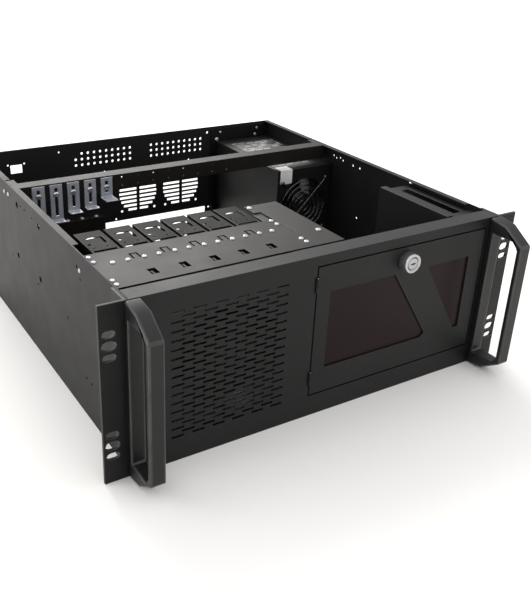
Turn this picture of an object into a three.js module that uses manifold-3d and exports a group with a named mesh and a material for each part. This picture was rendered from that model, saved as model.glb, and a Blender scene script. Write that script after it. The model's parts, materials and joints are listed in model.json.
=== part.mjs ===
// A 4U rack-mount storage enclosure with its lid off: a folded steel tray with a slotted front
// panel, a lockable door with two smoked windows, rack ears and handles, a cage of six upright
// drive trays behind a 120 mm intake fan, a card hold-down bar, seven expansion slots and an
// upright power supply. Millimetres, +X right seen from the front, +Y to the back, +Z up.
// Pieces are laid out in case coordinates, where y = 0 is the outer face of the front panel.
import * as THREE from 'three';
import { mergeVertices } from 'three/addons/utils/BufferGeometryUtils.js';
import Module from 'manifold-3d';

// ---------------------------------------------------------------- driving dimensions
const BODY_WIDTH = 430;        // between the outer faces of the side walls
const EAR_TAB = 26.3;          // reach of each rack ear beyond its side wall
const EAR_SPAN = BODY_WIDTH + 2 * EAR_TAB;   // 482.6, the 19-inch panel width
const BODY_HEIGHT = 177;       // four rack units less working clearance
const BODY_DEPTH = 450;        // front panel face to rear panel face
const SHEET = 1.2;             // folded steel of the tray, rear panel and brackets
const FRONT_SHEET = 1.5;       // front panel and door
const GAP = 0.3;               // clearance between pieces that touch
const WALL_FLANGE = 7;         // inward fold along the top of the side walls
const FRONT_FLANGE = 19;       // backward fold along the top of the front panel
const BOTTOM_FLANGE = 12;      // backward fold along the bottom of the front panel

const EAR_SHEET = 3;           // rack ears
const EAR_LEG = 27;            // leg of the ear along the side wall
const EAR_SLOTS = [28, 39, 50];        // heights of the slots above and below each end
const EAR_SLOT_EDGE = 8.75;    // ear's outer edge to the slots' middle: 465.1 mm between rows
const EAR_SLOT = { length: 12, width: 6.5 };
const EAR_SLOT_LARGE = { length: 13.5, width: 8.5 };

const HANDLE_WIDTH = 15;
const HANDLE_REACH = 45;       // how far the handles stand in front of the panel
const HANDLE_GRIP = 6;         // thickness of the grip bar and of the back bar
const HANDLE_END = 17;         // height of the solid end above and below the finger hole

const GRILLE_EDGE = 39.2;      // left wall to the first grille slot
const GRILLE_SLOT = { length: 13.2, width: 2.2 };
const GRILLE_PITCH = { x: 21.5, z: 9.13 };
const GRILLE_ROWS = 15;        // full rows; one row fewer is staggered between them
const GRILLE_COLUMNS = 6;
const GRILLE_BOTTOM = 26.5;    // height of the lowest row

const INTAKE = { size: 120, depth: 25, bore: 57.5, hub: 21, blades: 7 };

const DOOR_FROM_GRILLE = 32.6; // grille edge to the door
const DOOR_FROM_WALL = 17.3;   // right wall to the door
const DOOR_BOTTOM = 25;
const DOOR_TOP_MARGIN = 12;    // door to the top of the front panel
const DOOR_GAP = 1.6;
const DOOR_FOLD = 4;           // depth of the door's folded edges, short enough for the cam
const WINDOW_MARGIN = { left: 16, right: 19, top: 28, bottom: 28 };
const WINDOW_SLANT = 52;       // sideways run of the slanted edges
const WINDOW_BAR = 44;         // solid bar between the two windows
const WINDOW_FOOT = 7;         // width of the right window at its bottom
const PANE = 2;                // smoked acrylic
const PANE_LAP = 2.5;          // pane beyond its window opening

const HINGE = { radius: 2, pin: 0.9, play: 0.08, forward: 0.6, length: 15, leaf: 11.2 };
const HINGE_FROM_END = 11;     // door edge to the hinge knuckles
const LOCK = {
  x: 109.5, drop: 14.5, head: 10.3, body: 8.8, plug: 6.5, tail: 3.6, reach: 11, behind: 3,
};
const CAM = { length: 21, width: 12, thickness: 2 };

const PAN_DEPTH = 22;          // recess behind the door
const PAN_MARGIN = 12.5;       // recess walls beyond the door opening, outside the hinge leaves
const POWER = { radius: 6, fromWall: 29, z: 122, travel: 2.5 };
const RESET = { radius: 3, fromWall: 29, z: 98, travel: 2 };
const BUTTON_CLEARANCE = 0.4;
const SWITCH_BLOCK = { width: 22, depth: 8, beyond: 10, leg: 2 };

const CAGE_Y = [26.5, 103];    // front and rear edges of the cage cover
const CAGE_DROP = 2;           // cage cover below the top of the walls
const CAGE_MARGIN = 10.5;      // cover beyond the first and last drive
const DRIVES = 6;
const DRIVE_PITCH = 31.1;
const TRAY_SPACE = 3.6;        // from one tray to the next
const TRAY_SHEET = 1;
const TRAY_Y = [34, 158];
const TRAY_TOP_FRONT = 66;     // front edge of the folded tray top
const TRAY_BOTTOM = 20;
const SUPPORT_WIDTH = 33;      // bracket that carries the right edge of the cage
const SUPPORT_REAR = 148;
const SUPPORT_STEP = { x: 8.4, y: 24 };   // its rear part reaches over towards the last tray
const BAY = { fromWall: 47.8, flange: 8.5, rear: 135, ledge: 5, slot: 12 };

const STANDOFF = { radius: 3, height: 6.35 };   // hexagonal posts under the mainboard
const BOARD_HOLES = { x: 2.1, columns: [0, 157.48, 281.94], y: 22, rows: [0, 154.94, 227.33] };

const SLOTS = 7;
const SLOT_PITCH = 20.32;
const SLOT_FROM_WALL = 27.7;   // left wall to the middle of the first slot
const SLOT_COVER = { width: 18.4, thickness: 0.9, foot: 8 };
const SLOT_LEDGE = 72;         // height of the ledge that the covers hang on
const SLOT_RECESS = 10;        // depth of the recess that the ledge closes
const SLOT_DOUBLER = 32;       // height of the doubled sheet above the ledge

const IO = { x: 165.5, width: 158.75, bottom: 13.6, height: 44.45 };
const REAR_FAN = { first: 216, pitch: 67.5, z: 96, radius: 28.5, holes: 50, rows: 9 };
const REAR_FAN_SLOT = { pitch: 6, width: 3.4, bar: 4.5 };
const VENTS = { columns: 10, rows: 3, pitchX: 8.67, pitchZ: 7.75, radius: 1.9, top: 15.2 };
const VENT_STARTS = [127.1, 237];

const BAR_Y = [303, 320];      // card hold-down bar
const BAR_FACE = 18;
const BAR_NOTCH = 17;          // free length of the wall notch behind the bar
const HOLD_DOWN = { width: 14.5, thickness: 1.2, slot: 3.4 };
const HOLD_DOWN_LENGTHS = [43, 43, 35, 33, 24];
const HOLD_DOWN_FEET = [10, 10, 10, 10, 18];
const BAR_HOLE_DROPS = [3.6, 13];      // two rows of small holes below the bar's top

const PSU = { width: 86, height: 150, length: 160, wall: 1, raise: 5, side: 0.8 };
const PSU_FAN = { size: 80, depth: 25, bore: 38, hub: 16, blades: 7, z: 97, holes: 71.5 };

// ---------------------------------------------------------------- values that follow from them
const HALF = BODY_WIDTH / 2;
const WALL_INSIDE = HALF - SHEET;
const BEHIND_FRONT = FRONT_SHEET + GAP;
const REAR_INSIDE = BODY_DEPTH - SHEET;
const BEFORE_REAR = REAR_INSIDE - GAP;
const FLOOR_TOP = SHEET + GAP;
const DOOR_LEFT = -HALF + GRILLE_EDGE + (GRILLE_COLUMNS - 1) * GRILLE_PITCH.x
  + GRILLE_SLOT.length + DOOR_FROM_GRILLE + DOOR_GAP / 2;
const DOOR_RIGHT = HALF - DOOR_FROM_WALL;
const DOOR_TOP = BODY_HEIGHT - DOOR_TOP_MARGIN;
const HINGE_X = DOOR_LEFT - DOOR_GAP / 2;
const CAGE_LEFT = -WALL_INSIDE + GAP;
const CAGE_RIGHT = CAGE_LEFT + 2 * CAGE_MARGIN + DRIVES * DRIVE_PITCH;
const TRAY_WIDTH = DRIVE_PITCH - TRAY_SPACE;
const CAGE_TOP = BODY_HEIGHT - CAGE_DROP;
const TRAY_TOP = CAGE_TOP - SHEET - GAP;
const GRILLE_MIDDLE = {
  x: -HALF + GRILLE_EDGE + ((GRILLE_COLUMNS - 1) * GRILLE_PITCH.x + GRILLE_SLOT.length) / 2,
  z: GRILLE_BOTTOM + ((GRILLE_ROWS - 1) * GRILLE_PITCH.z) / 2,
};
const PSU_X = WALL_INSIDE - PSU.side - PSU.width;
const PSU_Y = BEFORE_REAR - PSU.length;
const PSU_FAN_X = PSU_X + PSU.width / 2;
const PSU_FAN_Z = PSU.raise + PSU_FAN.z;
const BAY_LEFT = WALL_INSIDE - BAY.fromWall;

const trayMiddle = (k) => CAGE_LEFT + CAGE_MARGIN + (k + 0.5) * DRIVE_PITCH;
const slotMiddle = (k) => -HALF + SLOT_FROM_WALL + k * SLOT_PITCH;

// ---------------------------------------------------------------- finishes
const finish = (color, roughness, metalness, extra = {}) =>
  new THREE.MeshStandardMaterial({ color, roughness, metalness, ...extra });
const BLACK_COAT = finish(0x3a3a3c, 0.62, 0.1);
const GREY_COAT = finish(0x6f6d69, 0.6, 0.1);
const BLACK_PLASTIC = finish(0x161618, 0.5, 0);
const ZINC = finish(0xb9bcc4, 0.35, 0.9);
const CHROME = finish(0xd8dade, 0.15, 1);
const ACRYLIC = finish(0x4a3030, 0.2, 0, { transparent: true, opacity: 0.6 });

// ---------------------------------------------------------------- solids
const wasm = await Module();
wasm.setup();

function toSolid(geometry) {
  const bare = geometry.clone();
  bare.deleteAttribute('normal');
  bare.deleteAttribute('uv');
  const snapped = bare.attributes.position.array.map((value) => Math.round(value * 1e4) / 1e4);
  bare.setAttribute('position', new THREE.BufferAttribute(snapped, 3));
  const merged = mergeVertices(bare, 1e-4);
  return new wasm.Manifold(new wasm.Mesh({
    numProp: 3,
    vertProperties: merged.attributes.position.array,
    triVerts: new Uint32Array(merged.index.array),
  }));
}

function toGeometry(solid) {
  const mesh = solid.getMesh();
  const geometry = new THREE.BufferGeometry();
  geometry.setAttribute('position', new THREE.BufferAttribute(mesh.vertProperties, 3));
  geometry.setIndex(new THREE.BufferAttribute(mesh.triVerts, 1));
  geometry.computeVertexNormals();
  return geometry;
}

const join = (...geometries) =>
  toGeometry(geometries.map(toSolid).reduce((whole, piece) => whole.add(piece)));
const cut = (geometry, ...tools) =>
  toGeometry(tools.map(toSolid).reduce((rest, tool) => rest.subtract(tool), toSolid(geometry)));

// The local frame of a slab: its outline is drawn in u and v and its thickness runs along w.
const SLAB_FRAMES = {
  x: [[0, 1, 0], [0, 0, 1], [1, 0, 0]],
  y: [[1, 0, 0], [0, 0, 1], [0, -1, 0]],
  z: [[1, 0, 0], [0, 1, 0], [0, 0, 1]],
};

// A prism across one axis, from low to high, on an outline given as a point list.
function prism(axis, outline, low, high) {
  const shape = new THREE.Shape(outline.map(([u, v]) => new THREE.Vector2(u, v)));
  const geometry = new THREE.ExtrudeGeometry(shape, { depth: high - low, bevelEnabled: false });
  const [u, v, w] = SLAB_FRAMES[axis].map((vector) => new THREE.Vector3(...vector));
  geometry.applyMatrix4(new THREE.Matrix4().makeBasis(u, v, w));
  const shift = axis === 'y' ? -high : low;
  return geometry.translate(...w.clone().multiplyScalar(shift).toArray());
}

// A flat piece across one axis with holes cut right through it.
function slab(axis, outline, low, high, holes = []) {
  const plate = prism(axis, outline, low, high);
  if (holes.length === 0) return plate;
  return cut(plate, ...holes.map((hole) => prism(axis, hole, low - 1, high + 1)));
}

function block(x0, x1, y0, y1, z0, z1) {
  const geometry = new THREE.BoxGeometry(x1 - x0, y1 - y0, z1 - z0);
  return geometry.translate((x0 + x1) / 2, (y0 + y1) / 2, (z0 + z1) / 2);
}

const rect = (u0, v0, u1, v1) => [[u0, v0], [u1, v0], [u1, v1], [u0, v1]];

function disc(u, v, radius, sides = 6) {
  const turn = (i) => (2 * Math.PI * (i + 0.5)) / sides;
  return Array.from({ length: sides }, (_, i) =>
    [u + radius * Math.cos(turn(i)), v + radius * Math.sin(turn(i))]);
}

// A slot with round ends along u.
function roundSlot(u, v, length, width, steps = 4) {
  const points = [];
  for (const side of [1, -1]) {
    for (let i = 0; i <= steps; i += 1) {
      const angle = -Math.PI / 2 + (Math.PI * i) / steps;
      points.push([
        u + side * ((length - width) / 2 + (width / 2) * Math.cos(angle)),
        v + side * (width / 2) * Math.sin(angle),
      ]);
    }
  }
  return points;
}

// A round bar or tube along one axis, standing on an outline point (u, v).
const rod = (axis, u, v, radius, low, high, sides = 16) =>
  slab(axis, disc(u, v, radius, sides), low, high);
const tube = (axis, u, v, outer, inner, low, high, sides = 16) =>
  slab(axis, disc(u, v, outer, sides), low, high, [disc(u, v, inner, sides)]);

// ---------------------------------------------------------------- case
// Fixing holes of the side walls for slide rails and brackets: [y, z, radius].
const LEFT_WALL_HOLES = [
  [338, 164, 1.8], [323, 165, 1.8], [293, 162, 3.9], [280, 165, 1.5], [267, 165, 1.5],
  [242, 164, 1.5], [221, 162, 3.9], [327, 90, 1.5], [304, 98, 3.9], [237, 90, 1.5],
  [228, 99, 3.9], [148, 91, 1.7], [114, 160, 2.2], [107, 150, 1.6], [104, 45, 1.6], [91, 45, 1.6],
];
const RIGHT_WALL_HOLES = [
  [285, 167, 1.6], [279, 165, 1.6], [271, 167, 1.6], [265, 165, 1.6],
  [244, 164, 1.8], [230, 164, 1.8], [227, 97, 1.8],
];

function chassisTray() {
  const wallHoles = (list) => list.map(([y, z, radius]) => disc(y, z, radius));
  const side = rect(BEHIND_FRONT, 0, BEFORE_REAR, BODY_HEIGHT);
  const flange = (sign, y0, y1) => {
    const edges = [sign * HALF, sign * (HALF - WALL_FLANGE)].sort((a, b) => a - b);
    return block(...edges, y0, y1, BODY_HEIGHT - SHEET, BODY_HEIGHT);
  };
  const notch = [BAR_Y[0] - GAP, BAR_Y[1] + BAR_NOTCH];
  const cageEnd = CAGE_Y[1] + 23;
  const firstHole = { x: -HALF + IO.x + IO.width - BOARD_HOLES.x, y: REAR_INSIDE - BOARD_HOLES.y };
  const standoffs = BOARD_HOLES.columns.flatMap((dx) => BOARD_HOLES.rows.map((dy) =>
    rod('z', firstHole.x - dx, firstHole.y - dy, STANDOFF.radius, SHEET / 2,
      SHEET + STANDOFF.height, 6)));
  return join(
    slab('z', rect(-HALF, BEHIND_FRONT, HALF, BEFORE_REAR), 0, SHEET),
    slab('x', side, -HALF, -WALL_INSIDE, wallHoles(LEFT_WALL_HOLES)),
    slab('x', side, WALL_INSIDE, HALF, wallHoles(RIGHT_WALL_HOLES)),
    flange(-1, cageEnd, notch[0]),
    flange(-1, notch[1], BEFORE_REAR),
    flange(1, FRONT_FLANGE + 23, notch[0]),
    flange(1, notch[1], BEFORE_REAR),
    ...standoffs,
  );
}

function grilleSlots() {
  const slots = [];
  const rows = 2 * GRILLE_ROWS - 1;
  for (let row = 0; row < rows; row += 1) {
    const stagger = row % 2;
    for (let column = 0; column < GRILLE_COLUMNS - stagger; column += 1) {
      const x = -HALF + GRILLE_EDGE + (column + stagger / 2) * GRILLE_PITCH.x;
      const z = GRILLE_BOTTOM + (row / 2) * GRILLE_PITCH.z;
      slots.push(rect(x, z - GRILLE_SLOT.width / 2, x + GRILLE_SLOT.length, z + GRILLE_SLOT.width / 2));
    }
  }
  return slots;
}

const hingeHeights = [DOOR_BOTTOM + HINGE_FROM_END, DOOR_TOP - HINGE_FROM_END - HINGE.length];
const notchReach = HINGE.radius + 0.6;
const hingeNotches = (x0, x1) => hingeHeights.map((z) =>
  block(x0, x1, -GAP, FRONT_SHEET + GAP, z - 0.8, z + HINGE.length + 0.8));

function frontPanel() {
  const opening = rect(DOOR_LEFT - DOOR_GAP, DOOR_BOTTOM - DOOR_GAP,
    DOOR_RIGHT + DOOR_GAP, DOOR_TOP + DOOR_GAP);
  const face = slab('y', rect(-HALF + GAP, 0, HALF - GAP, BODY_HEIGHT), 0, FRONT_SHEET,
    [...grilleSlots(), opening]);
  const inner = WALL_INSIDE - GAP;
  const folded = join(
    face,
    block(-inner, inner, 0, FRONT_FLANGE, BODY_HEIGHT - SHEET, BODY_HEIGHT),
    block(-inner, inner, 0, BOTTOM_FLANGE, FLOOR_TOP, FLOOR_TOP + SHEET),
  );
  return cut(folded, ...hingeNotches(HINGE_X - notchReach, HINGE_X));
}

function rackEar(sign) {
  const middle = sign * (EAR_SPAN / 2 - EAR_SLOT_EDGE);
  const slots = [];
  for (const [index, height] of EAR_SLOTS.entries()) {
    const size = index === 1 ? EAR_SLOT_LARGE : EAR_SLOT;
    for (const z of [height, BODY_HEIGHT - height]) {
      slots.push(roundSlot(middle, z, size.length, size.width));
    }
  }
  const inside = sign * (HALF + GAP);
  const order = (a, b) => (a < b ? [a, b] : [b, a]);
  const [x0, x1] = order(inside, (sign * EAR_SPAN) / 2);
  return join(
    slab('y', rect(x0, 0, x1, BODY_HEIGHT), 0, EAR_SHEET, slots),
    block(...order(inside, inside + sign * EAR_SHEET), 0, EAR_LEG, 0, BODY_HEIGHT),
  );
}

function handle(sign) {
  const shoulder = { y: 21, z: 3 };
  const corner = HANDLE_REACH * 0.42;
  const half = [
    [-GAP, 0], [-shoulder.y, shoulder.z], [-HANDLE_REACH, corner],
  ];
  const mirrored = half.map(([y, z]) => [y, BODY_HEIGHT - z]).reverse();
  const inset = HANDLE_GRIP + 5;
  const hole = [
    [-HANDLE_GRIP, HANDLE_END], [-HANDLE_REACH + inset, HANDLE_END],
    [-HANDLE_REACH + HANDLE_GRIP, HANDLE_END + 8],
    [-HANDLE_REACH + HANDLE_GRIP, BODY_HEIGHT - HANDLE_END - 8],
    [-HANDLE_REACH + inset, BODY_HEIGHT - HANDLE_END], [-HANDLE_GRIP, BODY_HEIGHT - HANDLE_END],
  ];
  const outer = sign * (HALF + GAP + EAR_SHEET);
  const low = sign > 0 ? outer - HANDLE_WIDTH : outer;
  return slab('x', [...half, ...mirrored], low, low + HANDLE_WIDTH, [hole]);
}

// ---------------------------------------------------------------- rear panel and slots
function rearFanHoles(x) {
  const holes = [];
  const reach = (REAR_FAN.rows - 1) / 2;
  for (let row = -reach; row <= reach; row += 1) {
    const dz = row * REAR_FAN_SLOT.pitch;
    const half = Math.sqrt(REAR_FAN.radius ** 2 - dz ** 2);
    const z = REAR_FAN.z + dz;
    for (const side of [-1, 1]) {
      const ends = [side * REAR_FAN_SLOT.bar / 2, side * half].sort((a, b) => a - b);
      holes.push(rect(x + ends[0], z - REAR_FAN_SLOT.width / 2, x + ends[1], z + REAR_FAN_SLOT.width / 2));
    }
  }
  for (const dx of [-1, 1]) {
    for (const dz of [-1, 1]) {
      holes.push(disc(x + (dx * REAR_FAN.holes) / 2, REAR_FAN.z + (dz * REAR_FAN.holes) / 2, 2));
    }
  }
  return holes;
}

function ventHoles() {
  const holes = [];
  for (const [group, start] of VENT_STARTS.entries()) {
    for (let column = 0; column < VENTS.columns; column += 1) {
      for (let row = 0; row < VENTS.rows; row += 1) {
        const missing = group === 0 && column === 0 && row === 0;
        if (missing) continue;
        const x = -HALF + start + column * VENTS.pitchX;
        holes.push(disc(x, BODY_HEIGHT - VENTS.top - row * VENTS.pitchZ, VENTS.radius));
      }
    }
  }
  return holes;
}

function slotRange() {
  const edge = SLOT_COVER.width / 2 + 1;
  return [slotMiddle(0) - edge, slotMiddle(SLOTS - 1) + edge];
}

// Lone fixing holes of the rear panel: [x from the left wall, height, radius].
const REAR_FIXINGS = [
  [37, 158, 1.3], [58, 158, 1.3], [104.5, 167, 1.3], [167, 132, 1.8], [296, 133, 1.6],
  [326, 169.5, 1.8], [181.7, 61, 1.6], [330, 56, 1.6],
];

function rearPanel() {
  const [x0, x1] = slotRange();
  const psuRim = 6;
  const ioLeft = -HALF + IO.x;
  const signal = rect(-HALF + 40, 146.5, -HALF + 55, 157.5);
  const holes = [
    rect(ioLeft, IO.bottom, ioLeft + IO.width, IO.bottom + IO.height),
    rect(x0 + SHEET, FLOOR_TOP + SHEET, x1 - SHEET, SLOT_LEDGE - SHEET),
    rect(PSU_X + psuRim, PSU.raise + psuRim, PSU_X + PSU.width - psuRim,
      PSU.raise + PSU.height - psuRim),
    signal,
    ...rearFanHoles(-HALF + REAR_FAN.first),
    ...rearFanHoles(-HALF + REAR_FAN.first + REAR_FAN.pitch),
    ...ventHoles(),
    ...REAR_FIXINGS.map(([x, z, radius]) => disc(-HALF + x, z, radius)),
  ];
  const recess = BODY_DEPTH - SLOT_RECESS - SHEET;
  const windows = Array.from({ length: SLOTS }, (_, k) =>
    rect(slotMiddle(k) - 6.5, SLOT_COVER.foot + 6, slotMiddle(k) + 6.5, SLOT_LEDGE - 8));
  return join(
    slab('y', rect(-HALF, 0, HALF, BODY_HEIGHT), REAR_INSIDE, BODY_DEPTH, holes),
    slab('y', rect(x0, FLOOR_TOP, x1, SLOT_LEDGE), recess, recess + SHEET, windows),
    block(x0, x1, recess, BODY_DEPTH, SLOT_LEDGE - SHEET, SLOT_LEDGE),
    block(x0, x1 + 4, REAR_INSIDE - SHEET, BODY_DEPTH, SLOT_LEDGE - SHEET,
      SLOT_LEDGE + SLOT_DOUBLER),
    block(x0, x0 + SHEET, recess, BODY_DEPTH, FLOOR_TOP, SLOT_LEDGE),
    block(x1 - SHEET, x1, recess, BODY_DEPTH, FLOOR_TOP, SLOT_LEDGE),
  );
}

function slotCover(k) {
  const x = slotMiddle(k);
  const half = SLOT_COVER.width / 2;
  const back = BODY_DEPTH - SLOT_RECESS - SHEET - GAP;
  const top = SLOT_LEDGE + GAP;
  return join(
    block(x - half, x + half, back - SLOT_COVER.thickness, back, SLOT_COVER.foot,
      top + SLOT_COVER.thickness),
    block(x - half, x + half, back - SLOT_COVER.thickness, BEFORE_REAR - SHEET, top,
      top + SLOT_COVER.thickness),
  );
}

// ---------------------------------------------------------------- card hold-down bar
function cardBar() {
  const end = WALL_INSIDE - GAP;
  const tab = 9;
  const holes = BAR_HOLE_DROPS.flatMap((drop) => Array.from({ length: SLOTS + 6 }, (_, k) =>
    disc(slotMiddle(k), BODY_HEIGHT - drop, 1.2)));
  const face = slab('y', rect(-end, BODY_HEIGHT - BAR_FACE, end, BODY_HEIGHT),
    BAR_Y[0], BAR_Y[0] + SHEET, holes);
  const top = [BODY_HEIGHT - SHEET, BODY_HEIGHT];
  return join(
    face,
    block(-end, end, BAR_Y[0], BAR_Y[1], ...top),
    block(-end, -end + tab, BAR_Y[0], BAR_Y[1] + BAR_NOTCH - 3, ...top),
    block(end - tab, end, BAR_Y[0], BAR_Y[1] + BAR_NOTCH - 3, ...top),
  );
}

function holdDown(k) {
  const x = slotMiddle(k);
  const half = HOLD_DOWN.width / 2;
  const back = BAR_Y[0] - GAP;
  const top = BODY_HEIGHT - SHEET - GAP;
  const foot = top - HOLD_DOWN_LENGTHS[k];
  const slot = rect(x - HOLD_DOWN.slot / 2, foot + 6, x + HOLD_DOWN.slot / 2, top - 4);
  return join(
    slab('y', rect(x - half, foot, x + half, top), back - HOLD_DOWN.thickness, back, [slot]),
    block(x - half, x + half, back - HOLD_DOWN_FEET[k], back, foot, foot + HOLD_DOWN.thickness),
  );
}

// ---------------------------------------------------------------- drive cage
const TAB_HOLE = { width: 8, length: 11.5, y: 44.5, shift: 1.6 };
const U_SLOT = { width: 8.5, length: 11.5, y: 83, line: 1.8 };

function uSlot(x) {
  const { width, length, y, line } = U_SLOT;
  const [left, right, front, rear] = [x - width / 2, x + width / 2, y - length / 2, y + length / 2];
  return [
    [left, front], [left + line, front], [left + line, rear - line],
    [right - line, rear - line], [right - line, front], [right, front], [right, rear], [left, rear],
  ];
}

function cageCover() {
  const holes = [];
  for (let k = 1; k < DRIVES; k += 1) {
    const x = CAGE_LEFT + CAGE_MARGIN + k * DRIVE_PITCH + TAB_HOLE.shift;
    const { width, length, y } = TAB_HOLE;
    holes.push(rect(x - width / 2, y - length / 2, x + width / 2, y + length / 2));
    holes.push(uSlot(x));
  }
  const outline = rect(CAGE_LEFT, CAGE_Y[0], CAGE_RIGHT, CAGE_Y[1]);
  return slab('z', outline, CAGE_TOP - SHEET, CAGE_TOP, holes);
}

// The right side runs back until the bracket beside it takes over.
function cageSide(sign) {
  const edge = sign < 0 ? CAGE_LEFT : CAGE_RIGHT;
  const inward = -sign;
  const order = (a, b) => (a < b ? [a, b] : [b, a]);
  const [y0, y1] = [CAGE_Y[0] + 4, CAGE_Y[1] + (sign < 0 ? 0 : SUPPORT_STEP.y)];
  return join(
    block(...order(edge, edge + inward * SHEET), y0, y1, FLOOR_TOP + SHEET + GAP, TRAY_TOP),
    block(...order(edge, edge + inward * (CAGE_MARGIN - 0.5)), y0, y1, TRAY_TOP - SHEET, TRAY_TOP),
  );
}

function cageDivider(k) {
  const x = CAGE_LEFT + CAGE_MARGIN + (k + 1) * DRIVE_PITCH;
  const half = TRAY_SHEET / 2;
  const hook = TAB_HOLE.y - 2;
  return join(
    block(x - half, x + half, CAGE_Y[0] + 11, CAGE_Y[1] - 5, FLOOR_TOP, TRAY_TOP),
    block(x - half, x + half, hook - 3, hook + 3, TRAY_TOP - 1, CAGE_TOP - 0.2),
  );
}

function driveTray(k) {
  const x = trayMiddle(k);
  const half = TRAY_WIDTH / 2;
  const [left, right] = [x - half, x + half];
  const grip = { y: 141, half: half - 4.75, line: 2, leg: 14, legWidth: 3 };
  const holes = [
    [
      [x - grip.half, grip.y], [x + grip.half - grip.legWidth, grip.y],
      [x + grip.half - grip.legWidth, grip.y - grip.leg], [x + grip.half, grip.y - grip.leg],
      [x + grip.half, grip.y + grip.line], [x - grip.half, grip.y + grip.line],
    ],
    rect(left + 1.95, CAGE_Y[1] + 4.5, right - 1.95, CAGE_Y[1] + 8.5),
    disc(left + 4.35, 127, 2.2),
    disc(left + 5.75, 118, 1.3),
    disc(x + 5, 118, 1.3),
  ];
  const [bottom, top, sheet] = [TRAY_BOTTOM, TRAY_TOP, TRAY_SHEET];
  const profile = [
    [left, bottom], [right, bottom], [right, bottom + sheet], [left + sheet, bottom + sheet],
    [left + sheet, top - sheet], [right, top - sheet], [right, top], [left, top],
  ];
  return cut(
    prism('y', profile, TRAY_Y[0], TRAY_Y[1]),
    block(left + sheet, right + 1, TRAY_Y[0] - 1, TRAY_TOP_FRONT, top - sheet - 1, top + 1),
    ...holes.map((hole) => prism('z', hole, top - sheet - 1, top + 1)),
    ...[[48, 50], [130, 50], [48, 140], [130, 140]].map(([y, z]) =>
      prism('x', disc(y, z, 1.8), left - 1, left + sheet + 1)),
  );
}

function supportBracket() {
  const x0 = CAGE_RIGHT + 0.6;
  const x1 = x0 + SUPPORT_WIDTH;
  const step = { x: x0 - SUPPORT_STEP.x, y: CAGE_Y[1] + SUPPORT_STEP.y };
  const outline = [
    [x0, CAGE_Y[0]], [x1, CAGE_Y[0]], [x1, SUPPORT_REAR], [step.x, SUPPORT_REAR],
    [step.x, step.y], [x0, step.y],
  ];
  const foot = 10;
  return join(
    slab('z', outline, CAGE_TOP - SHEET, CAGE_TOP),
    block(x1 - SHEET, x1, CAGE_Y[0], SUPPORT_REAR, FLOOR_TOP, CAGE_TOP),
    block(x1 - SHEET, x1 + foot, CAGE_Y[0], SUPPORT_REAR, FLOOR_TOP, FLOOR_TOP + SHEET),
  );
}

// An upright plate whose top folds over, down to a slotted ledge and across to the side wall.
function bayBracket() {
  const foot = 10;
  const [y0, y1] = [CAGE_Y[0], BAY.rear];
  const edge = BAY_LEFT + BAY.flange;
  const low = CAGE_TOP - BAY.ledge;
  const side = WALL_INSIDE - GAP;
  const middle = (edge + side) / 2;
  const slot = rect(middle - BAY.slot / 2, y0 + 12, middle + BAY.slot / 2, y1 - 12);
  return join(
    block(BAY_LEFT, BAY_LEFT + SHEET, y0, y1, FLOOR_TOP, CAGE_TOP),
    block(BAY_LEFT, edge, y0, y1, CAGE_TOP - SHEET, CAGE_TOP),
    block(edge - SHEET, edge, y0, y1, low, CAGE_TOP),
    slab('z', rect(edge - SHEET, y0, side, y1), low, low + SHEET, [slot]),
    block(BAY_LEFT, BAY_LEFT + foot, y0, y1, FLOOR_TOP, FLOOR_TOP + SHEET),
  );
}

// ---------------------------------------------------------------- fans
function fanFrame(fan, x, z, y0) {
  const half = fan.size / 2;
  const trim = fan.size * 0.04;
  const corners = [
    [-half + trim, -half], [half - trim, -half], [half, -half + trim], [half, half - trim],
    [half - trim, half], [-half + trim, half], [-half, half - trim], [-half, -half + trim],
  ].map(([u, v]) => [x + u, z + v]);
  const y1 = y0 + fan.depth;
  const strut = { width: 4, thickness: 2.5 };
  const arm = (fan.bore + 2) / Math.SQRT2;
  const bars = [1, -1].map((sign) => {
    const off = strut.width / 2 / Math.SQRT2;
    const outline = [
      [-arm - off, sign * (-arm + off)], [-arm + off, sign * (-arm - off)],
      [arm + off, sign * (arm - off)], [arm - off, sign * (arm + off)],
    ].map(([u, v]) => [x + u, z + v]);
    return slab('y', outline, y1 - strut.thickness, y1);
  });
  return join(
    slab('y', corners, y0, y1, [disc(x, z, fan.bore, 28)]),
    rod('y', x, z, fan.hub, y1 - strut.thickness, y1, 20),
    ...bars,
  );
}

function fanRotor(fan, x, z, y0) {
  const tip = fan.bore - 1.2;
  const root = fan.hub - 1;
  const pitch = 0.42;
  const span = fan.depth - 9;
  const blades = Array.from({ length: fan.blades }, (_, i) => {
    const blade = new THREE.BoxGeometry(tip - root, 1.8, span * 1.15, 2, 1, 1);
    const place = blade.attributes.position;
    for (let n = 0; n < place.count; n += 1) {
      const along = (place.getX(n) + (tip - root) / 2) / (tip - root);
      const twist = 0.85 - pitch * along;
      const [s, c] = [Math.sin(twist), Math.cos(twist)];
      const [py, pz] = [place.getY(n), place.getZ(n)];
      place.setY(n, py * c - pz * s);
      place.setZ(n, py * s + pz * c);
    }
    blade.translate((tip + root) / 2, 0, 0);
    blade.rotateX(Math.PI / 2);
    blade.rotateY((2 * Math.PI * i) / fan.blades);
    return blade.translate(x, y0 + fan.depth / 2 - 1.2, z);
  });
  return join(rod('y', x, z, fan.hub, y0 + 2.5, y0 + fan.depth - 3.1, 20), ...blades);
}

// ---------------------------------------------------------------- power supply
const INLET = { x: 24, z: 22, width: 27, height: 19.5 };
const ROCKER = { x: 60, z: 22, width: 21, height: 14.5 };

function centredRect(x, z, width, height, grow = 0) {
  const [a, b] = [width / 2 + grow, height / 2 + grow];
  return rect(x - a, z - b, x + a, z + b);
}

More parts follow.
